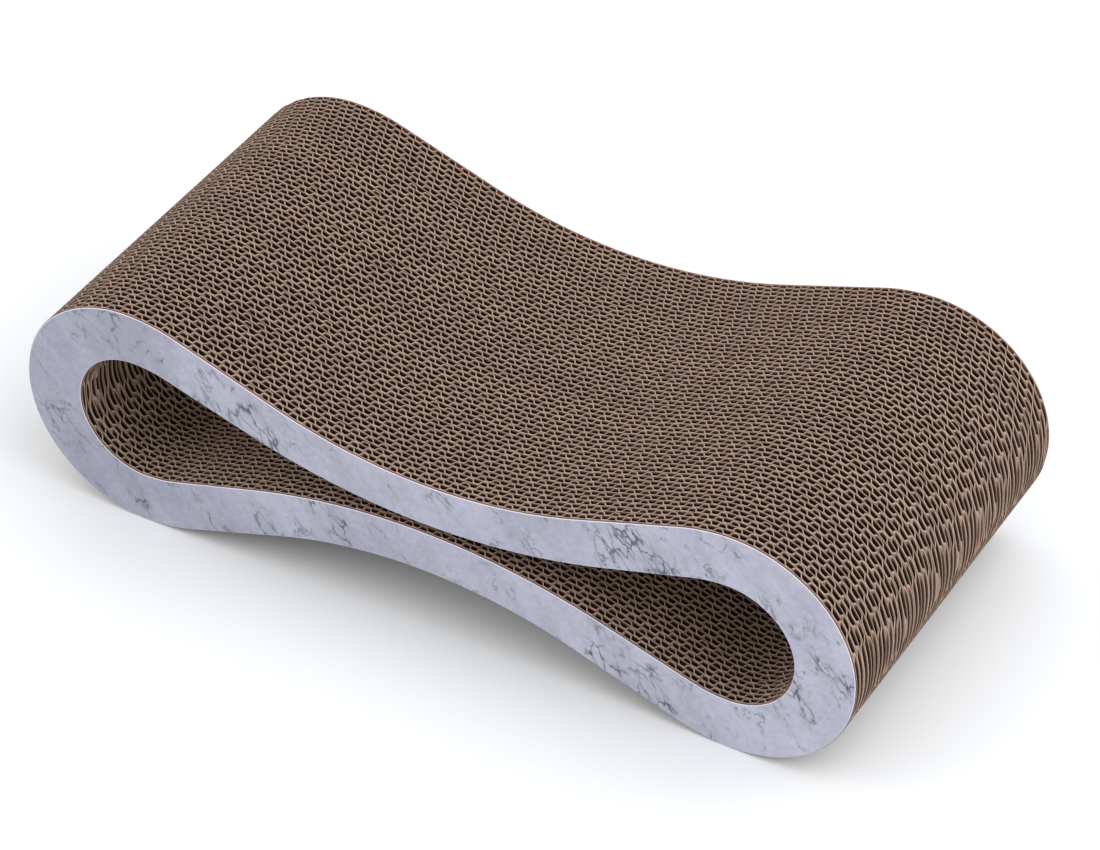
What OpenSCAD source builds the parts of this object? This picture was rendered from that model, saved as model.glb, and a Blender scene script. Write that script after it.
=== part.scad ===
// Cardboard cat scratcher: die-cut corrugated sheets glued face to face into a waisted
// lounger with a teardrop hole under each end, and a printed cover on each flat side.
// Length runs along X, the stack of sheets along Y, height along Z, and the block rests on z = 0.

/* [Block outline] */
// Length from end to end
block_l = 450; // [400:5:520]
// Height over the rounded end lobes
lobe_h = 126; // [114:1:138]
// Height at the waist, the lowest place of the saddle
waist_h = 53; // [44:1:64]
// How much larger the radius is with which a flank rolls over than the radius of its lobe
shoulder_extra = 21; // [8:1:40]
// Radius of the saddle's hollow, as a share of the largest that fits between the lobes
saddle_share = 0.857; // [0.6:0.001:0.95]

/* [Hole outline] */
// Board left between the hole and each end of the block
end_wall = 31; // [22:1:45]
// Board left over and under the hole in each lobe
lobe_wall = 29; // [24:1:36]
// Height of the slit that joins the two teardrops at the waist
slit_h = 5; // [3:0.5:14]
// How much larger the radius is with which a teardrop rolls over than that of its round end
teardrop_extra = 26; // [8:1:45]
// Radius of the hollow between the teardrops, as a share of the largest that fits between them
teardrop_share = 0.901; // [0.6:0.001:0.95]

/* [Sheets] */
// How many corrugated sheets are glued together
sheets = 56; // [20:1:58]
// Thickness of one sheet, its liner and its flutes together
sheet_t = 3.55; // [2.5:0.05:5]
// Thickness of the flat liner paper that the flutes are glued to
liner_t = 0.35; // [0.2:0.05:0.6]
// Length of board that one flute takes up
flute_pitch = 7.76; // [6:0.02:12]
// How many neighbouring sheets make a group whose flutes lie in line
sheets_in_line = 2; // [1:1:4]
// Share of a pitch by which each group's flutes lie to the left of those in the group before
flute_drift_share = 0.5; // [0:0.01:1]

/* [Covers] */
// Thickness of the printed cover board on each side
cover_t = 0.8; // [0.4:0.1:2]
// How far a cover's edges lie inside those of the sheets
cover_inset = 0.3; // [0.1:0.1:1]

/* [Hidden] */
// Curves that run into each other cross this deep, so that no sliver is left between them
bite = 0.02;
// How far a cutting shape runs past what it cuts
overrun = 10;
// Width of the whole stack with its covers
block_w = sheets * sheet_t + 2 * cover_t;
// Length of the hole from end to end, and its height in each lobe
hole_l = block_l - 2 * end_wall;
hole_h = lobe_h - 2 * lobe_wall;
// The layers take these colours by turns, so that they can be told apart
board_colours = ["#9a7b5f", "#b2937a"];
cover_colour = "#c9c9dc";
$fn = 128;

function sheet_name(i) = str("sheet_", i < 10 ? "0" : "", i);

// Radius of the largest hollow between two lobes: it meets the curves that roll over them with
// no straight stretch between
function largest_hollow(long, high, waist, extra) =
  let (across = (long - high) / 2, sink = (high - waist) / 2)
  (across * across + sink * sink) / (2 * sink) - high / 2 - extra;

// Slope of the straight line that passes over one round and under another, when their middles
// lie this far apart across and up, and their radii add up to reach
function crossing_slope(across, up, reach) = atan2(across, up) - acos(reach / norm([across, up]));

// Both copies of a shape that is the same on either side of a plane
module both_sides(plane) {
  children();
  mirror(plane) children();
}

// A bone-shaped plate: two round lobes, straight flanks and a hollow waist, all flowing together
module bone(long, high, waist, hollow_r, extra, thick) {
  end_r = high / 2;
  end_x = long / 2 - end_r;
  roll_r = end_r + extra;
  drop = extra + bite;
  hollow_y = waist / 2 + hollow_r;
  slope = crossing_slope(end_x, hollow_y + drop, hollow_r + roll_r - 2 * bite);
  // Where a flank leaves the hollow's curve, and where it meets the curve over the lobe
  low = [0, hollow_y] + (hollow_r - bite) * [sin(slope), -cos(slope)];
  top = [end_x, -drop] + (roll_r - bite) * [-sin(slope), cos(slope)];
  upper = [[-top.x, top.y], [-low.x, low.y], low, top];
  lower = [for (k = [len(upper) - 1:-1:0]) [upper[k].x, -upper[k].y]];
  difference() {
    union() {
      linear_extrude(thick) polygon(concat(upper, lower));
      both_sides([1, 0, 0]) {
        translate([end_x, 0, 0]) cylinder(r = end_r, h = thick);
        intersection() {
          translate([end_x, drop, 0]) cylinder(r = roll_r, h = thick);
          translate([end_x, -drop, 0]) cylinder(r = roll_r, h = thick);
          translate([0, -high, 0]) cube([end_x, 2 * high, thick]);
        }
      }
    }
    both_sides([0, 1, 0])
      translate([0, hollow_y, -overrun]) cylinder(r = hollow_r, h = thick + 2 * overrun);
  }
}

// The die-cut ring shared by sheets and covers, its front at y = 0 and its back at y = thick
module ring(thick, inset) {
  saddle_r = saddle_share * largest_hollow(block_l, lobe_h, waist_h, shoulder_extra);
  teardrop_r = teardrop_share * largest_hollow(hole_l, hole_h, slit_h, teardrop_extra);
  translate([0, thick, lobe_h / 2]) rotate([90, 0, 0]) difference() {
    bone(block_l - 2 * inset, lobe_h - 2 * inset, waist_h - 2 * inset, saddle_r + inset,
         shoulder_extra, thick);
    translate([0, 0, -overrun])
      bone(hole_l + 2 * inset, hole_h + 2 * inset, slit_h + 2 * inset, teardrop_r - inset,
           teardrop_extra, thick + 2 * overrun);
  }
}

// The V-shaped channels behind the flutes of one sheet, which run straight up through the ring
module channels(i) {
  folds = 2 * ceil(block_l / flute_pitch + 2);
  drift_share = (ceil(i / sheets_in_line) * flute_drift_share) % 1;
  start = -block_l / 2 - flute_pitch * (1 + drift_share);
  zigzag = [for (k = [0:folds]) [start + k * flute_pitch / 2, k % 2 == 0 ? sheet_t : liner_t]];
  behind = [[zigzag[folds].x, sheet_t + overrun], [start, sheet_t + overrun]];
  translate([0, 0, -overrun])
    linear_extrude(lobe_h + 2 * overrun) polygon(concat(zigzag, behind));
}

module sheet(i) {
  color(board_colours[i % len(board_colours)])
    translate([0, (i - 1) * sheet_t - block_w / 2 + cover_t, 0]) difference() {
      ring(sheet_t, 0);
      channels(i);
    }
}

module front_cover() {
  color(cover_colour) translate([0, -block_w / 2, 0]) ring(cover_t, cover_inset);
}

module rear_cover() {
  color(cover_colour) translate([0, block_w / 2 - cover_t, 0]) ring(cover_t, cover_inset);
}

front_cover();
for (i = [1:sheets]) sheet(i);
rear_cover();
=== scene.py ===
import math
import random

import bmesh
import bpy
from mathutils import Matrix, Vector


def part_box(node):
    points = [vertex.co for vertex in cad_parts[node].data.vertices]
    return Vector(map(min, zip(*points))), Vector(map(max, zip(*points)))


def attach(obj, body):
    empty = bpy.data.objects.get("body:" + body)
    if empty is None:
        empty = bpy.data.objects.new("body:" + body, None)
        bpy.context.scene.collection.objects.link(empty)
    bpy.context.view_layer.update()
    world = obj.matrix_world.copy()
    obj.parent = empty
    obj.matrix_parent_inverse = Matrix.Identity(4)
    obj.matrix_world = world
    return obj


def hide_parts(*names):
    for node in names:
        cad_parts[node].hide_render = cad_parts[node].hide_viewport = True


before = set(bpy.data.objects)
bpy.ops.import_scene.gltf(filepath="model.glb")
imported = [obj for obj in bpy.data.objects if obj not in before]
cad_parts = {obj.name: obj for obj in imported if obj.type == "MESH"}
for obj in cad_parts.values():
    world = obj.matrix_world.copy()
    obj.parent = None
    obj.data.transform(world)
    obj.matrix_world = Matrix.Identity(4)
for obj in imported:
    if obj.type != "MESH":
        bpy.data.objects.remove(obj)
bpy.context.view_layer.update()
print("frame loaded:", len(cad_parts), "nodes")

mm = 0.001


def toLinear(hexColour):
    parts = [int(hexColour[i:i + 2], 16) / 255 for i in (1, 3, 5)]
    return [c / 12.92 if c <= 0.04045 else ((c + 0.055) / 1.055) ** 2.4 for c in parts] + [1.0]


# a node with these inputs and settings: an input that is given a socket is linked to it
def addNode(tree, kind, inputs=None, **settings):
    node = tree.nodes.new(kind)
    for name, value in settings.items():
        setattr(node, name, value)
    for key, value in (inputs or {}).items():
        if isinstance(value, bpy.types.NodeSocket):
            tree.links.new(value, node.inputs[key])
        else:
            node.inputs[key].default_value = value
    return node


# an empty Geometry Nodes tree, with the sockets that it is given and the one that it hands on
def newTree(name, inputs, outLabel, outKind):
    tree = bpy.data.node_groups.new(name, "GeometryNodeTree")
    for label, kind in inputs.items():
        tree.interface.new_socket(name=label, in_out="INPUT", socket_type="NodeSocket" + kind)
    tree.interface.new_socket(name=outLabel, in_out="OUTPUT", socket_type="NodeSocket" + outKind)
    given = addNode(tree, "NodeGroupInput").outputs
    result = addNode(tree, "NodeGroupOutput").inputs[0]
    return tree, given, result


def newMaterial(name, roughness, specular):
    material = bpy.data.materials.new(name)
    material.use_nodes = True
    shader = material.node_tree.nodes["Principled BSDF"]
    shader.inputs["Roughness"].default_value = roughness
    shader.inputs["Specular IOR Level"].default_value = specular
    return material, shader


def addObject(name, data):
    added = bpy.data.objects.new(name, data)
    bpy.context.collection.objects.link(added)
    return added


photoCamera = {
    "place": (0.8025, -1.3182, 1.3183),
    "azimuth": 31.04,              # degrees that the view is turned from +Y towards -X
    "elevation": 39.34,            # degrees that it looks down
    "roll": -0.884,
    "lens": 135.85,                # mm
    "sensorWidth": 36,             # mm
}


def makeCamera():
    turn = math.radians(photoCamera["azimuth"])
    rise = math.radians(photoCamera["elevation"])
    ahead = math.cos(rise)
    forward = Vector((-math.sin(turn) * ahead, math.cos(turn) * ahead, -math.sin(rise)))
    level = Vector((math.cos(turn), math.sin(turn), 0))
    right = Matrix.Rotation(-math.radians(photoCamera["roll"]), 3, forward) @ level
    up = right.cross(forward)
    facing = Matrix((right, up, -forward)).transposed().to_4x4()
    data = bpy.data.cameras.new("photoCamera")
    data.sensor_width = photoCamera["sensorWidth"]
    data.lens = photoCamera["lens"]
    camera = addObject("photoCamera", data)
    camera.matrix_world = Matrix.Translation(photoCamera["place"]) @ facing
    bpy.context.scene.camera = camera
    print("camera placed")


studio = {
    "floorSize": 30.0,
    "floorHex": "#E6E8EA",
    "floorRoughness": 0.95,
    "floorSpecular": 0.1,
    "worldHex": "#FFFFFF",
    "worldStrength": 1.1,
    # a large softbox above the right side of the block, and a weak one that looks into its holes
    "softboxes": {
        "key": {"size": 2.6, "place": (1.45, 0.0, 1.7), "watts": 26},
        "fill": {"size": 1.6, "place": (-1.7, -1.15, 0.6), "watts": 12},
    },
}


# matte studio paper: nearly white, it takes soft shadows and gives no reflections
def studioPaperMaterial():
    material, shader = newMaterial("studioPaper", studio["floorRoughness"], studio["floorSpecular"])
    shader.inputs["Base Color"].default_value = toLinear(studio["floorHex"])
    return material


def makeStudio():
    mesh = bpy.data.meshes.new("studioFloor")
    half = studio["floorSize"] / 2
    corners = [(-half, -half, 0), (half, -half, 0), (half, half, 0), (-half, half, 0)]
    mesh.from_pydata(corners, [], [(0, 1, 2, 3)])
    mesh.materials.append(studioPaperMaterial())
    floor = addObject("studioFloor", mesh)

    world = bpy.data.worlds.new("softStudio")
    world.use_nodes = True
    background = world.node_tree.nodes["Background"]
    background.inputs["Color"].default_value = toLinear(studio["worldHex"])
    background.inputs["Strength"].default_value = studio["worldStrength"]
    bpy.context.scene.world = world

    for name, softbox in studio["softboxes"].items():
        light = bpy.data.lights.new(name + "Softbox", "AREA")
        light.shape = "DISK"
        light.size = softbox["size"]
        light.energy = softbox["watts"]
        lamp = addObject(name + "Softbox", light)
        lamp.location = softbox["place"]
        lamp.rotation_euler = (-Vector(softbox["place"])).to_track_quat("-Z", "Y").to_euler()
    bpy.context.scene.view_settings.view_transform = "Standard"
    print("studio lit")


# a CAD mesh is loose triangles, so a copy of it is merged before anything is done to it
def mergedCopy(nodeName):
    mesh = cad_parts[nodeName].data.copy()
    shell = bmesh.new()
    shell.from_mesh(mesh)
    bmesh.ops.remove_doubles(shell, verts=shell.verts, dist=0.001 * mm)
    shell.to_mesh(mesh)
    shell.free()
    return mesh


printedCover = {
    "edgeRound": 0.28 * mm,
    "roundSteps": 2,
    "roundOver": 50,               # degrees: edges sharper than this are rounded
    "smoothUnder": 40,             # degrees: faces that meet flatter than this are shaded as one
    "roughness": 0.42,
    "specular": 0.4,
    "grain": (0.5 * mm, 0.05 * mm, 0.08),    # size, depth and strength of the print's fine bumps
    "printDepth": 0.3 * mm,        # white paper under the ink, the rest of the card is kraft
    "whiteFacing": (0.93, 0.985),  # the white shows where the rounded edge turns this far away from Y
    "whiteHex": "#C6C9DC",
    "kraftHexes": ("#7A4F3C", "#A07560"),
    "kraftFibre": 1.0 * mm,

    "groundHexes": ("#8B8C9C", "#ABACBC"),
    "cloudSize": 60 * mm,
    "cloudSpan": (0.58, 0.88),
    "cloudPaling": 0.5,
    "streakSize": 9 * mm,
    "streakStretch": 6,
    "streakShare": 0.45,
    "paintedLightSpan": (-0.2, 0.2),        # painted light: the ground is made paler from the left end to the right one, as if lit more there, by this much
    "paintedLightPaling": 0.6,              # by this much

    "veinHex": "#4B5155",
    "veinTurn": 57,                # degrees below the length that most veins run at
    "veinStretch": 2.2,
    "veinSize": 30 * mm,
    "veinWidth": 0.011,            # how near its middle value the noise makes a vein
    "veinBreak": 14 * mm,
    "veinSeen": (0.45, 0.62),
    "veinInk": 0.8,

    "patchSize": 34 * mm,
    "patchSpan": (0.535, 0.585),
    "crackHex": "#343A3D",
    "crackleSize": 5.5 * mm,
    "crackWidth": 0.095,           # share of a cell
    "crackSeen": (0.36, 0.56),
    "bendSize": 6 * mm,
    "bendReach": 9 * mm,
    "smudgeHex": "#7F858D",
    "smudgeSpan": (0.48, 0.68),
    "smudgeInk": 0.3,

    "mottleSize": 3 * mm,          # coarser than a real print's screen, so that it shows
    "mottleSpan": (0.32, 0.68),
    "mottleTone": (0.88, 1.07),
}


# offset-printed card: satin, a cool lavender-grey marble of soft clouds, thin broken veins and
# crackled patches, with a white hairline round its edges and brown kraft behind it
def marblePrintMaterial(outerFace):
    cover = printedCover
    material, shader = newMaterial("marblePrintedCard", cover["roughness"], cover["specular"])
    tree = material.node_tree
    place = addNode(tree, "ShaderNodeTexCoord").outputs["Object"]
    axes = addNode(tree, "ShaderNodeSeparateXYZ", {0: place}).outputs
    turn = (0, math.radians(cover["veinTurn"]), 0)
    stretched, streaked = [addNode(tree, "ShaderNodeMapping", {
        "Vector": place, "Rotation": turn, "Scale": (cover[stretch], 1, 1)}, vector_type="TEXTURE")
        for stretch in ("veinStretch", "streakStretch")]

    # soft clouds with faint streaks in them, and painted light that makes them paler towards the right
    # end
    cloud = addNode(tree, "ShaderNodeTexNoise", {
        "Vector": place, "Scale": 1 / cover["cloudSize"], "Detail": 4.0, "Roughness": 0.6})
    streak = addNode(tree, "ShaderNodeTexNoise", {
        "Vector": streaked.outputs[0], "Scale": 1 / cover["streakSize"], "Detail": 3.0})
    both = addNode(tree, "ShaderNodeMath", {
        0: streak.outputs[0], 1: cover["streakShare"], 2: cloud.outputs[0]}, operation="MULTIPLY_ADD")
    low, high = cover["cloudSpan"]
    clouded = addNode(tree, "ShaderNodeMapRange", {
        "Value": both.outputs[0], 1: low, 2: high, 4: cover["cloudPaling"]})
    low, high = cover["paintedLightSpan"]
    paintedLightRamp = addNode(tree, "ShaderNodeMapRange", {
        "Value": axes[0], 1: low, 2: high, 4: cover["paintedLightPaling"]})
    pale = addNode(tree, "ShaderNodeMath", {
        0: clouded.outputs[0], 1: paintedLightRamp.outputs[0]}, operation="ADD")
    grey, palest = cover["groundHexes"]
    ground = addNode(tree, "ShaderNodeMix", {
        "Factor": pale.outputs[0], 6: toLinear(grey), 7: toLinear(palest)}, data_type="RGBA")

    # a vein is where a twisted noise passes its middle value, and it comes and goes
    twist = addNode(tree, "ShaderNodeTexNoise", {
        "Vector": stretched.outputs[0], "Scale": 1 / cover["veinSize"], "Detail": 7.0, "Roughness": 0.6,
        "Distortion": 0.25})
    offMiddle = addNode(tree, "ShaderNodeMath", {0: twist.outputs[0], 1: 0.5}, operation="SUBTRACT")
    nearness = addNode(tree, "ShaderNodeMath", {0: offMiddle.outputs[0]}, operation="ABSOLUTE")
    vein = addNode(tree, "ShaderNodeMapRange", {
        "Value": nearness.outputs[0], 1: 0.0, 2: cover["veinWidth"], 3: 1.0, 4: 0.0})
    breaks = addNode(tree, "ShaderNodeTexNoise", {
        "Vector": place, "Scale": 1 / cover["veinBreak"], "Detail": 3.0})
    low, high = cover["veinSeen"]
    seen = addNode(tree, "ShaderNodeMapRange", {
        "Value": breaks.outputs[0], 1: low, 2: high, 4: cover["veinInk"]})
    thinVein = addNode(tree, "ShaderNodeMath", {
        0: vein.outputs[0], 1: seen.outputs[0]}, operation="MULTIPLY")

    # crackled patches: short dark cracks crowd together over a grey smudge
    bend = addNode(tree, "ShaderNodeTexNoise", {
        "Vector": stretched.outputs[0], "Scale": 1 / cover["bendSize"], "Detail": 4.0})
    bent = addNode(tree, "ShaderNodeVectorMath", {
        0: bend.outputs[1], 1: (cover["bendReach"],) * 3, 2: stretched.outputs[0]},
        operation="MULTIPLY_ADD")
    cells = addNode(tree, "ShaderNodeTexVoronoi", {
        "Vector": bent.outputs[0], "Scale": 1 / cover["crackleSize"]}, feature="DISTANCE_TO_EDGE")
    crack = addNode(tree, "ShaderNodeMapRange", {
        "Value": cells.outputs[0], 1: 0.0, 2: cover["crackWidth"], 3: 1.0, 4: 0.0})
    patches = addNode(tree, "ShaderNodeTexNoise", {
        "Vector": stretched.outputs[0], "Scale": 1 / cover["patchSize"], "Detail": 5.0,
        "Roughness": 0.6})
    low, high = cover["smudgeSpan"]
    smudge = addNode(tree, "ShaderNodeMapRange", {
        "Value": patches.outputs[0], 1: low, 2: high, 4: cover["smudgeInk"]})
    low, high = cover["patchSpan"]
    inPatch = addNode(tree, "ShaderNodeMapRange", {"Value": patches.outputs[0], 1: low, 2: high})
    crackle = addNode(tree, "ShaderNodeMath", {
        0: crack.outputs[0], 1: inPatch.outputs[0]}, operation="MULTIPLY")
    low, high = cover["crackSeen"]
    fade = addNode(tree, "ShaderNodeMapRange", {"Value": breaks.outputs[0], 1: low, 2: high})
    faded = addNode(tree, "ShaderNodeMath", {
        0: crackle.outputs[0], 1: fade.outputs[0]}, operation="MULTIPLY")

    inked = ground.outputs[2]
    for mask, ink in ((smudge, "smudgeHex"), (thinVein, "veinHex"), (faded, "crackHex")):
        inked = addNode(tree, "ShaderNodeMix", {
            "Factor": mask.outputs[0], 6: inked, 7: toLinear(cover[ink])}, data_type="RGBA").outputs[2]
    # the print is finely mottled all over, as from a coarse screen
    speckle = addNode(tree, "ShaderNodeTexNoise", {
        "Vector": place, "Scale": 1 / cover["mottleSize"], "Detail": 4.0, "Roughness": 0.7})
    low, high = cover["mottleSpan"]
    dark, light = cover["mottleTone"]
    mottled = addNode(tree, "ShaderNodeMapRange", {
        "Value": speckle.outputs[0], 1: low, 2: high, 3: dark, 4: light})
    printed = addNode(tree, "ShaderNodeMix", {"Factor": 1.0, 6: inked, 7: mottled.outputs[0]},
                      data_type="RGBA", blend_type="MULTIPLY")

    # the print stops at the cut edge, where its white paper shows and then the kraft card behind it
    facing = addNode(tree, "ShaderNodeSeparateXYZ", {
        0: addNode(tree, "ShaderNodeNewGeometry").outputs["True Normal"]})
    sideways = addNode(tree, "ShaderNodeMath", {0: facing.outputs[1]}, operation="ABSOLUTE")
    low, high = cover["whiteFacing"]
    rim = addNode(tree, "ShaderNodeMapRange", {
        "Value": sideways.outputs[0], 1: low, 2: high, 3: 1.0, 4: 0.0})
    rimmed = addNode(tree, "ShaderNodeMix", {
        "Factor": rim.outputs[0], 6: printed.outputs[2], 7: toLinear(cover["whiteHex"])},
        data_type="RGBA")
    reach = addNode(tree, "ShaderNodeMath", {0: axes[1]}, operation="ABSOLUTE")
    inner = addNode(tree, "ShaderNodeMath", {
        0: reach.outputs[0], 1: outerFace - cover["printDepth"]}, operation="LESS_THAN")
    fibre = addNode(tree, "ShaderNodeTexNoise", {
        "Vector": place, "Scale": 1 / cover["kraftFibre"], "Detail": 3.0})
    darkKraft, paleKraft = cover["kraftHexes"]
    kraft = addNode(tree, "ShaderNodeMix", {
        "Factor": fibre.outputs[0], 6: toLinear(darkKraft), 7: toLinear(paleKraft)}, data_type="RGBA")
    colour = addNode(tree, "ShaderNodeMix", {
        "Factor": inner.outputs[0], 6: rimmed.outputs[2], 7: kraft.outputs[2]}, data_type="RGBA")
    tree.links.new(colour.outputs[2], shader.inputs["Base Color"])
    size, depth, strength = cover["grain"]
    grain = addNode(tree, "ShaderNodeTexNoise", {"Vector": place, "Scale": 1 / size, "Detail": 2.0})
    bump = addNode(tree, "ShaderNodeBump", {
        "Height": grain.outputs[0], "Strength": strength, "Distance": depth})
    tree.links.new(bump.outputs[0], shader.inputs["Normal"])
    return material


def makeCovers():
    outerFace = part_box("rear_cover")[1][1]
    material = marblePrintMaterial(outerFace)
    for name in ("front_cover", "rear_cover"):
        mesh = mergedCopy(name)
        mesh.materials.clear()
        mesh.materials.append(material)
        cover = addObject(name.replace("_cover", "MarbleCover"), mesh)
        rounded = cover.modifiers.new("edgeRound", "BEVEL")
        rounded.width = printedCover["edgeRound"]
        rounded.segments = printedCover["roundSteps"]
        rounded.limit_method = "ANGLE"
        rounded.angle_limit = math.radians(printedCover["roundOver"])
        for face in mesh.polygons:
            face.use_smooth = True
        mesh.set_sharp_from_angle(angle=math.radians(printedCover["smoothUnder"]))
        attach(cover, "root")
        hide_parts(name)
    print("covers made")


# one sheet of single-face board: a flat liner with a fluted medium glued to it
board = {
    "count": 56,
    "thickness": 3.55 * mm,
    "liner": 0.45 * mm,            # both papers are drawn thicker than the real 0.3, as
    "paper": 0.55 * mm,            # wide as their frayed cut edges look
    "flutePitch": 7.76 * mm,
    "tipPress": 0.12 * mm,         # how far each flute tip is pressed into the liner
    "pointsPerFlute": 20,
    "overlong": 1.02,              # before the cut the medium is this many times as long as the block,
    "oversize": 1.1,               # and the liner this many, and both are this many times as high
    "smoothUnder": 38,             # degrees: faces that meet flatter than this are shaded as one
    "squareness": 5.0,             # how short and steep a flute's flanks are
    "crown": 0.4,                  # share of its height that lies in its rounded tips
    "lean": -0.15,                 # a flute shifts this far along X for each mm that it stands back

    "driftFront": 0.225,           # share of a pitch from one sheet to the next, at the front
    "driftRear": 0.150,            # and at the rear
    "driftJitter": 0.05,
    "pairing": 0.19,               # sheets lie in pairs: steps are this much less and more by turns
    "pairedTo": 0.65,              # pairs fade out from this far back in the stack
    "seed": 11,

    "wander": 1.7 * mm,            # how far a flute may stray from its even place
    "wanderScale": 0.45,           # how quickly that changes from flute to flute
    "sheetStep": 7.31,             # how far on in the noise the next sheet's strays are
    "crush": 0.3,                  # share of its height that a flute may have lost
    "crushSpan": (0.5, 0.75),      # the draws that crush a flute, from not at all to fully
    "ripple": 0.7 * mm,            # how far the whole stack bulges to and fro along Y
    "rippleSize": 11 * mm,
    "rippleHeld": 1 * mm,          # this near to a cover the sheets stay flat,
    "rippleLoose": 8 * mm,         # and from here on they bulge fully

    "roughness": 0.92,
    "specular": 0.2,
    "edgeHex": "#9A8375",          # the cut edges outside,
    "holeLitEdgeHex": "#AD9686",      # and in the hole, painted paler as light that reaches in there
    "wallHex": "#7C6353",          # a flute's walls, this far in from the cut edge
    "litTo": 0.05 * mm,
    "deepShadeHex": "#2E1D13",          # and painted shade, from this far in on
    "darkFrom": 1.1 * mm,
    "edgeFacing": (0.05, 0.2),     # a face is a cut edge when it faces Y no more than this
    "fibreSize": 1.0 * mm,
    "fibreTone": (0.86, 1.12),
    "fibreBump": (0.15 * mm, 0.35),    # depth and strength
    "mottleSize": 12 * mm,
    "mottleTone": (0.9, 1.08),
    "noiseSpan": (0.3, 0.7),
    "sheetTone": (0.93, 1.07),
}


# the fluted line seen from above: how far a point of the medium stands off its middle line
def fluteLineTree():
    labels = ["Along", "Pitch", "Swing", "Shift", "Wander", "Crush", "Squareness", "Crown", "Seed"]
    tree, given, result = newTree("fluteLine", dict.fromkeys(labels, "Float"), "Stand Off", "Float")
    steps = addNode(tree, "ShaderNodeMath", {0: given["Along"], 1: given["Pitch"]}, operation="DIVIDE")
    along = addNode(tree, "ShaderNodeCombineXYZ", {0: steps.outputs[0]})
    stray = addNode(tree, "ShaderNodeTexNoise", {
        "W": given["Seed"], "Vector": along.outputs[0], "Scale": board["wanderScale"], "Detail": 2.0},
        noise_dimensions="4D")
    draws = addNode(tree, "ShaderNodeSeparateXYZ", {0: stray.outputs["Color"]})
    centred = addNode(tree, "ShaderNodeMath", {0: draws.outputs[0], 1: 0.5}, operation="SUBTRACT")
    strayed = addNode(tree, "ShaderNodeMath", {
        0: centred.outputs[0], 1: given["Wander"], 2: given["Along"]}, operation="MULTIPLY_ADD")
    turns = addNode(tree, "ShaderNodeMath", {
        0: strayed.outputs[0], 1: given["Pitch"]}, operation="DIVIDE")
    shifted = addNode(tree, "ShaderNodeMath", {0: turns.outputs[0], 1: given["Shift"]}, operation="ADD")
    angle = addNode(tree, "ShaderNodeMath", {
        0: shifted.outputs[0], 1: 2 * math.pi}, operation="MULTIPLY")
    swaying = addNode(tree, "ShaderNodeMath", {0: angle.outputs[0]}, operation="SINE")
    # the sine is stretched and cut off, its corners are eased, and some of it is put back as a crown
    swung = addNode(tree, "ShaderNodeMath", {
        0: swaying.outputs[0], 1: given["Squareness"]}, operation="MULTIPLY")
    wave = addNode(tree, "ShaderNodeClamp", {"Value": swung.outputs[0], "Min": -1.0, "Max": 1.0})
    square = addNode(tree, "ShaderNodeMath", {
        0: wave.outputs[0], 1: wave.outputs[0]}, operation="MULTIPLY")
    flatten = addNode(tree, "ShaderNodeMath", {
        0: square.outputs[0], 1: -0.5, 2: 1.5}, operation="MULTIPLY_ADD")
    shoulder = addNode(tree, "ShaderNodeMath", {
        0: wave.outputs[0], 1: flatten.outputs[0]}, operation="MULTIPLY")
    shaped = addNode(tree, "ShaderNodeMix", {
        "Factor": given["Crown"], 2: shoulder.outputs[0], 3: swaying.outputs[0]})
    # a crushed flute keeps its foot on the liner and loses height at its back
    low, high = board["crushSpan"]
    crushed = addNode(tree, "ShaderNodeMapRange", {
        "Value": draws.outputs[1], 1: low, 2: high, 4: given["Crush"]})
    lifted = addNode(tree, "ShaderNodeMath", {0: shaped.outputs[0], 1: 1.0}, operation="ADD")
    lost = addNode(tree, "ShaderNodeMath", {
        0: lifted.outputs[0], 1: crushed.outputs[0]}, operation="MULTIPLY")
    left = addNode(tree, "ShaderNodeMath", {
        0: shaped.outputs[0], 1: lost.outputs[0]}, operation="SUBTRACT")
    off = addNode(tree, "ShaderNodeMath", {0: left.outputs[0], 1: given["Swing"]}, operation="MULTIPLY")
    tree.links.new(off.outputs[0], result)
    return tree


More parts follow.
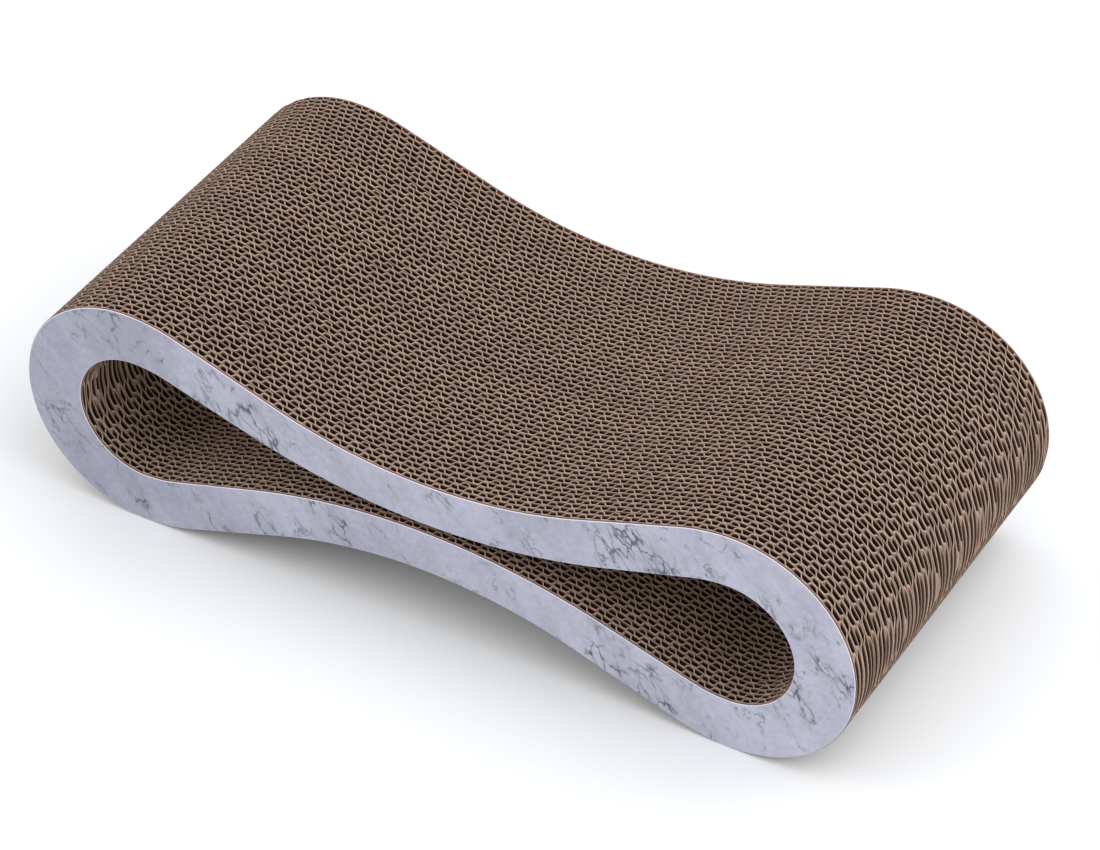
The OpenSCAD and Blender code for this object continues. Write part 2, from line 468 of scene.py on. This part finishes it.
# one die-cut sheet: the fluted medium and its liner, both trimmed to the blank's ring
def corrugatedSheetTree():
    sizes = ["Length", "Height", "Front", "Thickness", "Liner", "Paper", "Pitch", "Tip Press",
             "Shift", "Wander", "Lean", "Crush", "Squareness", "Crown", "Seed", "Move Back",
             "Ripple", "Ripple Size", "Half Width"]
    kinds = {"Blank": "Object", "Board": "Material", "Points": "Int"} | dict.fromkeys(sizes, "Float")
    tree, given, result = newTree("corrugatedSheet", kinds, "Sheet", "Geometry")

    # the middle line of the medium lies half way between the liner and the back of the sheet
    room = addNode(tree, "ShaderNodeMath", {
        0: given["Thickness"], 1: given["Liner"]}, operation="SUBTRACT")
    clear = addNode(tree, "ShaderNodeMath", {
        0: room.outputs[0], 1: given["Paper"]}, operation="SUBTRACT")
    pressed = addNode(tree, "ShaderNodeMath", {
        0: clear.outputs[0], 1: given["Tip Press"]}, operation="ADD")
    swing = addNode(tree, "ShaderNodeMath", {0: pressed.outputs[0], 1: 0.5}, operation="MULTIPLY")
    linerBack = addNode(tree, "ShaderNodeMath", {0: given["Front"], 1: given["Liner"]}, operation="ADD")
    tipRoom = addNode(tree, "ShaderNodeMath", {
        0: room.outputs[0], 1: given["Tip Press"]}, operation="SUBTRACT")
    middle = addNode(tree, "ShaderNodeMath", {
        0: tipRoom.outputs[0], 1: 0.5, 2: linerBack.outputs[0]}, operation="MULTIPLY_ADD")
    halfHeight = addNode(tree, "ShaderNodeMath", {0: given["Height"], 1: 0.5}, operation="MULTIPLY")
    tall = addNode(tree, "ShaderNodeMath", {
        0: given["Height"], 1: board["oversize"]}, operation="MULTIPLY")
    long = addNode(tree, "ShaderNodeMath", {
        0: given["Length"], 1: board["oversize"]}, operation="MULTIPLY")

    halfLength = addNode(tree, "ShaderNodeMath", {
        0: given["Length"], 1: board["overlong"] / 2}, operation="MULTIPLY")
    backwards = addNode(tree, "ShaderNodeMath", {
        0: halfLength.outputs[0], 1: -1.0}, operation="MULTIPLY")
    start = addNode(tree, "ShaderNodeCombineXYZ", {0: backwards.outputs[0]})
    end = addNode(tree, "ShaderNodeCombineXYZ", {0: halfLength.outputs[0]})
    line = addNode(tree, "GeometryNodeCurvePrimitiveLine", {
        "Start": start.outputs[0], "End": end.outputs[0]})
    pointed = addNode(tree, "GeometryNodeResampleCurve", {
        "Curve": line.outputs[0], "Count": given["Points"]})
    place = addNode(tree, "ShaderNodeSeparateXYZ", {
        0: addNode(tree, "GeometryNodeInputPosition").outputs[0]})
    flute = addNode(tree, "GeometryNodeGroup", node_tree=fluteLineTree())
    tree.links.new(place.outputs[0], flute.inputs["Along"])
    tree.links.new(swing.outputs[0], flute.inputs["Swing"])
    for label in ("Pitch", "Shift", "Wander", "Crush", "Squareness", "Crown", "Seed"):
        tree.links.new(given[label], flute.inputs[label])
    across = addNode(tree, "ShaderNodeMath", {
        0: flute.outputs[0], 1: middle.outputs[0]}, operation="ADD")
    leaned = addNode(tree, "ShaderNodeMath", {
        0: flute.outputs[0], 1: given["Lean"]}, operation="MULTIPLY")
    aside = addNode(tree, "ShaderNodeCombineXYZ", {
        0: leaned.outputs[0], 1: across.outputs[0], 2: halfHeight.outputs[0]})
    waved = addNode(tree, "GeometryNodeSetPosition", {
        "Geometry": pointed.outputs[0], "Offset": aside.outputs[0]})
    upright = addNode(tree, "GeometryNodeSetCurveNormal", {"Curve": waved.outputs[0]}, mode="Z_UP")
    section = addNode(tree, "GeometryNodeCurvePrimitiveQuadrilateral", {
        "Width": given["Paper"], "Height": tall.outputs[0]}, mode="RECTANGLE")
    medium = addNode(tree, "GeometryNodeCurveToMesh", {
        "Curve": upright.outputs[0], "Profile Curve": section.outputs[0], "Fill Caps": True})

    linerSize = addNode(tree, "ShaderNodeCombineXYZ", {
        0: long.outputs[0], 1: given["Liner"], 2: tall.outputs[0]})
    linerMiddle = addNode(tree, "ShaderNodeMath", {
        0: given["Liner"], 1: 0.5, 2: given["Front"]}, operation="MULTIPLY_ADD")
    linerPlace = addNode(tree, "ShaderNodeCombineXYZ", {
        1: linerMiddle.outputs[0], 2: halfHeight.outputs[0]})
    flat = addNode(tree, "GeometryNodeMeshCube", {"Size": linerSize.outputs[0]})
    liner = addNode(tree, "GeometryNodeTransform", {
        "Geometry": flat.outputs[0], "Translation": linerPlace.outputs[0]})

    glued = addNode(tree, "GeometryNodeMeshBoolean", operation="UNION", solver="MANIFOLD")
    for layer in (medium, liner):
        tree.links.new(layer.outputs[0], glued.inputs["Mesh 2"])
    blank = addNode(tree, "GeometryNodeObjectInfo", {"Object": given["Blank"]})
    cut = addNode(tree, "GeometryNodeMeshBoolean", operation="INTERSECT", solver="MANIFOLD")
    for shape in (glued.outputs[0], blank.outputs["Geometry"]):
        tree.links.new(shape, cut.inputs["Mesh 2"])
    back = addNode(tree, "ShaderNodeCombineXYZ", {1: given["Move Back"]})
    moved = addNode(tree, "GeometryNodeTransform", {
        "Geometry": cut.outputs[0], "Translation": back.outputs[0]})

    # the stack bulges a little to and fro, the same way in neighbouring sheets, but not at the covers
    spot = addNode(tree, "GeometryNodeInputPosition").outputs[0]
    perRipple = addNode(tree, "ShaderNodeMath", {0: 1.0, 1: given["Ripple Size"]}, operation="DIVIDE")
    fine = addNode(tree, "ShaderNodeVectorMath", {
        0: spot, "Scale": perRipple.outputs[0]}, operation="SCALE")
    swell = addNode(tree, "ShaderNodeTexNoise", {
        "Vector": fine.outputs[0], "Scale": 1.0, "Detail": 1.5})
    evenly = addNode(tree, "ShaderNodeMath", {0: swell.outputs[0], 1: 0.5}, operation="SUBTRACT")
    spotAxes = addNode(tree, "ShaderNodeSeparateXYZ", {0: spot})
    offMiddle = addNode(tree, "ShaderNodeMath", {0: spotAxes.outputs[1]}, operation="ABSOLUTE")
    toCover = addNode(tree, "ShaderNodeMath", {
        0: given["Half Width"], 1: offMiddle.outputs[0]}, operation="SUBTRACT")
    free = addNode(tree, "ShaderNodeMapRange", {
        "Value": toCover.outputs[0], 1: board["rippleHeld"], 2: board["rippleLoose"],
        4: given["Ripple"]})
    bulge = addNode(tree, "ShaderNodeMath", {
        0: evenly.outputs[0], 1: free.outputs[0]}, operation="MULTIPLY")
    swollen = addNode(tree, "ShaderNodeCombineXYZ", {1: bulge.outputs[0]})
    bulged = addNode(tree, "GeometryNodeSetPosition", {
        "Geometry": moved.outputs[0], "Offset": swollen.outputs[0]})

    # the waves are shaded smooth, and their cut edges stay crisp
    bendOf = addNode(tree, "GeometryNodeInputMeshEdgeAngle")
    soft = addNode(tree, "FunctionNodeCompare", {
        0: bendOf.outputs[0], 1: math.radians(board["smoothUnder"])},
        data_type="FLOAT", operation="LESS_THAN")
    rounded = addNode(tree, "GeometryNodeSetShadeSmooth", {
        "Geometry": bulged.outputs[0], "Shade Smooth": True}, domain="FACE")
    edged = addNode(tree, "GeometryNodeSetShadeSmooth", {
        "Geometry": rounded.outputs[0], "Shade Smooth": soft.outputs[0]}, domain="EDGE")
    real = addNode(tree, "GeometryNodeRealizeInstances", {"Geometry": edged.outputs[0]})
    dressed = addNode(tree, "GeometryNodeSetMaterial", {
        "Geometry": real.outputs[0], "Material": given["Board"]})
    tree.links.new(dressed.outputs[0], result)
    return tree


# the die-cut outline, as on the CAD sheets: a bone shape with a bone-shaped hole
blockOutline = {
    "length": 450 * mm,
    "height": 126 * mm,
    "waist": 53 * mm,
    "rollExtra": 21 * mm,          # how much larger a flank's roll-over is than its lobe
    "hollowShare": 0.857,          # radius of the hollow, as a share of the largest that fits
}

holeOutline = {
    "length": 388 * mm,
    "height": 68 * mm,
    "waist": 5 * mm,
    "rollExtra": 26 * mm,
    "hollowShare": 0.901,
}


# how deep a point lies inside an outline, for a point given by its distances from the middle
def depthInside(tree, across, point, outline):
    lobe = outline["height"] / 2
    lobeX = outline["length"] / 2 - lobe
    sink = lobe - outline["waist"] / 2
    roll = lobe + outline["rollExtra"]
    hollow = outline["hollowShare"] * ((lobeX * lobeX + sink * sink) / (2 * sink) - roll)
    hollowY = outline["waist"] / 2 + hollow
    rise = hollowY + outline["rollExtra"]
    slope = math.atan2(lobeX, rise) - math.acos((hollow + roll) / math.hypot(lobeX, rise))

    def away(x, y):
        apart = addNode(tree, "ShaderNodeVectorMath", {0: point, 1: (x, y, 0)}, operation="DISTANCE")
        return apart.outputs["Value"]

    inHollow = addNode(tree, "ShaderNodeMath", {0: away(0, hollowY), 1: hollow}, operation="SUBTRACT")
    along = addNode(tree, "ShaderNodeVectorMath", {
        0: point, 1: (math.sin(slope), -math.cos(slope), 0)}, operation="DOT_PRODUCT")
    underFlank = addNode(tree, "ShaderNodeMath", {
        0: along.outputs["Value"], 1: hollowY * math.cos(slope) - hollow}, operation="ADD")
    inRoll = addNode(tree, "ShaderNodeMath", {
        0: roll, 1: away(lobeX, -outline["rollExtra"])}, operation="SUBTRACT")
    inLobe = addNode(tree, "ShaderNodeMath", {0: lobe, 1: away(lobeX, 0)}, operation="SUBTRACT")
    depth = inHollow.outputs[0]
    # from the middle out, the hollow's curve gives way to the flank, the roll-over and the lobe
    flankFrom = hollow * math.sin(slope)
    rollFrom = lobeX - roll * math.sin(slope)
    for start, curve in ((flankFrom, underFlank), (rollFrom, inRoll), (lobeX, inLobe)):
        past = addNode(tree, "ShaderNodeMath", {0: across, 1: start}, operation="GREATER_THAN")
        depth = addNode(tree, "ShaderNodeMix", {
            0: past.outputs[0], 2: depth, 3: curve.outputs[0]}).outputs[0]
    return depth


# kraft board: brown recycled paper, matte, with short pale fibres and a lighter cut edge, with painted
# shade that darkens it deep between its papers and painted light on the cut edges in the hole
def kraftBoardMaterial():
    material, shader = newMaterial("kraftBoard", board["roughness"], board["specular"])
    tree = material.node_tree
    place = addNode(tree, "ShaderNodeTexCoord").outputs["Object"]
    axes = addNode(tree, "ShaderNodeSeparateXYZ", {0: place}).outputs

    # fibres and mottling, and each sheet is a touch lighter or darker, from another stretch of the roll
    low, high = board["noiseSpan"]
    fibre = addNode(tree, "ShaderNodeTexNoise", {
        "Vector": place, "Scale": 1 / board["fibreSize"], "Detail": 3.0})
    dark, light = board["fibreTone"]
    fleck = addNode(tree, "ShaderNodeMapRange", {
        "Value": fibre.outputs[0], 1: low, 2: high, 3: dark, 4: light})
    mottle = addNode(tree, "ShaderNodeTexNoise", {
        "Vector": place, "Scale": 1 / board["mottleSize"], "Detail": 3.0})
    dark, light = board["mottleTone"]
    patch = addNode(tree, "ShaderNodeMapRange", {
        "Value": mottle.outputs[0], 1: low, 2: high, 3: dark, 4: light})
    layer = addNode(tree, "ShaderNodeMath", {0: axes[1], 1: board["thickness"]}, operation="DIVIDE")
    whole = addNode(tree, "ShaderNodeMath", {0: layer.outputs[0]}, operation="FLOOR")
    roll = addNode(tree, "ShaderNodeTexWhiteNoise", {"W": whole.outputs[0]}, noise_dimensions="1D")
    dark, light = board["sheetTone"]
    tone = addNode(tree, "ShaderNodeMapRange", {"Value": roll.outputs[0], 3: dark, 4: light})
    shade = addNode(tree, "ShaderNodeMath", {
        0: fleck.outputs[0], 1: patch.outputs[0]}, operation="MULTIPLY")
    allShade = addNode(tree, "ShaderNodeMath", {
        0: shade.outputs[0], 1: tone.outputs[0]}, operation="MULTIPLY")

    # daylight hardly reaches into a flute, so its walls are painted darker the deeper they lie
    sides = addNode(tree, "ShaderNodeMath", {0: axes[0]}, operation="ABSOLUTE").outputs[0]
    height = addNode(tree, "ShaderNodeMath", {
        0: axes[2], 1: blockOutline["height"] / 2}, operation="SUBTRACT")
    upDown = addNode(tree, "ShaderNodeMath", {0: height.outputs[0]}, operation="ABSOLUTE")
    point = addNode(tree, "ShaderNodeCombineXYZ", {0: sides, 1: upDown.outputs[0]}).outputs[0]
    underBlock = depthInside(tree, sides, point, blockOutline)
    inHole = depthInside(tree, sides, point, holeOutline)
    pastHole = addNode(tree, "ShaderNodeMath", {0: inHole, 1: -1.0}, operation="MULTIPLY")
    depth = addNode(tree, "ShaderNodeMath", {
        0: underBlock, 1: pastHole.outputs[0]}, operation="MINIMUM")
    unlit = addNode(tree, "ShaderNodeMapRange", {
        "Value": depth.outputs[0], 1: board["litTo"], 2: board["darkFrom"]})
    wall = addNode(tree, "ShaderNodeMix", {
        "Factor": unlit.outputs[0], 6: toLinear(board["wallHex"]), 7: toLinear(board["deepShadeHex"])},
        data_type="RGBA")
    # painted light: cut edges nearer the hole than the outside take the paler hole colour
    holeLightMask = addNode(tree, "ShaderNodeMath", {
        0: pastHole.outputs[0], 1: underBlock}, operation="LESS_THAN")
    edge = addNode(tree, "ShaderNodeMix", {
        "Factor": holeLightMask.outputs[0], 6: toLinear(board["edgeHex"]),
        7: toLinear(board["holeLitEdgeHex"])}, data_type="RGBA")
    facing = addNode(tree, "ShaderNodeSeparateXYZ", {
        0: addNode(tree, "ShaderNodeNewGeometry").outputs["True Normal"]})
    sideways = addNode(tree, "ShaderNodeMath", {0: facing.outputs[1]}, operation="ABSOLUTE")
    low, high = board["edgeFacing"]
    cutEdge = addNode(tree, "ShaderNodeMapRange", {
        "Value": sideways.outputs[0], 1: low, 2: high, 3: 1.0, 4: 0.0})
    paper = addNode(tree, "ShaderNodeMix", {
        "Factor": cutEdge.outputs[0], 6: wall.outputs[2], 7: edge.outputs[2]}, data_type="RGBA")
    colour = addNode(tree, "ShaderNodeMix", {
        "Factor": 1.0, 6: paper.outputs[2], 7: allShade.outputs[0]},
        data_type="RGBA", blend_type="MULTIPLY")
    tree.links.new(colour.outputs[2], shader.inputs["Base Color"])
    depth, strength = board["fibreBump"]
    bump = addNode(tree, "ShaderNodeBump", {
        "Height": fibre.outputs[0], "Strength": strength, "Distance": depth})
    tree.links.new(bump.outputs[0], shader.inputs["Normal"])
    return material


# the plain die-cut ring: a cover's outline moved out to the edge of the sheets, one sheet thick
def blankRing():
    sheetLow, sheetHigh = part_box("sheet_01")
    coverLow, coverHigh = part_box("front_cover")
    inset = coverLow[0] - sheetLow[0]
    coverMiddle = (coverLow[1] + coverHigh[1]) / 2
    mesh = mergedCopy("front_cover")
    shell = bmesh.new()
    shell.from_mesh(mesh)
    outward = {}
    for point in shell.verts:
        push = Vector((0, 0, 0))
        for corner in point.link_loops:
            if abs(corner.face.normal.y) < 0.5:    # a face of the cut edge, not of a flat side
                push += corner.face.normal * corner.calc_angle()
        outward[point] = push.normalized()
    for point, way in outward.items():
        atBack = point.co.y > coverMiddle
        point.co += way * inset
        point.co.y = sheetHigh[1] if atBack else sheetLow[1]
    shell.to_mesh(mesh)
    shell.free()
    return mesh


def makeSheets():
    material = kraftBoardMaterial()
    tree = corrugatedSheetTree()
    sockets = [item for item in tree.interface.items_tree if item.in_out == "INPUT"]
    socketOf = {item.name: item.identifier for item in sockets}
    blank = addObject("blankRing", blankRing())
    low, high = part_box("sheet_01")
    length = high[0] - low[0]
    flutes = length * board["overlong"] / board["flutePitch"]
    shared = {
        "Blank": blank, "Board": material, "Points": int(flutes * board["pointsPerFlute"]),
        "Length": length, "Height": high[2] - low[2], "Front": low[1], "Half Width": -low[1],
        "Thickness": board["thickness"], "Liner": board["liner"], "Paper": board["paper"],
        "Pitch": board["flutePitch"], "Tip Press": board["tipPress"], "Wander": board["wander"],
        "Lean": board["lean"], "Crush": board["crush"], "Squareness": board["squareness"],
        "Crown": board["crown"], "Ripple": board["ripple"], "Ripple Size": board["rippleSize"]}

    dice = random.Random(board["seed"])
    shift = 0.0
    faces = 0
    for number in range(1, board["count"] + 1):
        behind = (number - 1) / (board["count"] - 1)
        shift += board["driftFront"] + (board["driftRear"] - board["driftFront"]) * behind
        paired = board["pairing"] * min(1.0, (1 - behind) / (1 - board["pairedTo"]))
        shift += paired if number % 2 else -paired
        shift += dice.uniform(-1, 1) * board["driftJitter"]
        own = {"Shift": shift % 1.0, "Seed": number * board["sheetStep"],
               "Move Back": (number - 1) * board["thickness"]}
        host = addObject("host", bpy.data.meshes.new("host"))
        nodes = host.modifiers.new("corrugate", "NODES")
        nodes.node_group = tree
        for label, value in (shared | own).items():
            nodes[socketOf[label]] = value
        bpy.context.view_layer.update()
        grown = host.evaluated_get(bpy.context.evaluated_depsgraph_get())
        mesh = bpy.data.meshes.new_from_object(grown)
        bpy.data.objects.remove(host)
        faces += len(mesh.polygons)
        sheet = addObject(f"corrugatedSheet_{number:02d}", mesh)
        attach(sheet, "root")
        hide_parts(f"sheet_{number:02d}")
    bpy.data.objects.remove(blank)
    print("sheets made:", board["count"], "with", faces, "faces")


makeCamera()
makeStudio()
makeCovers()
makeSheets()
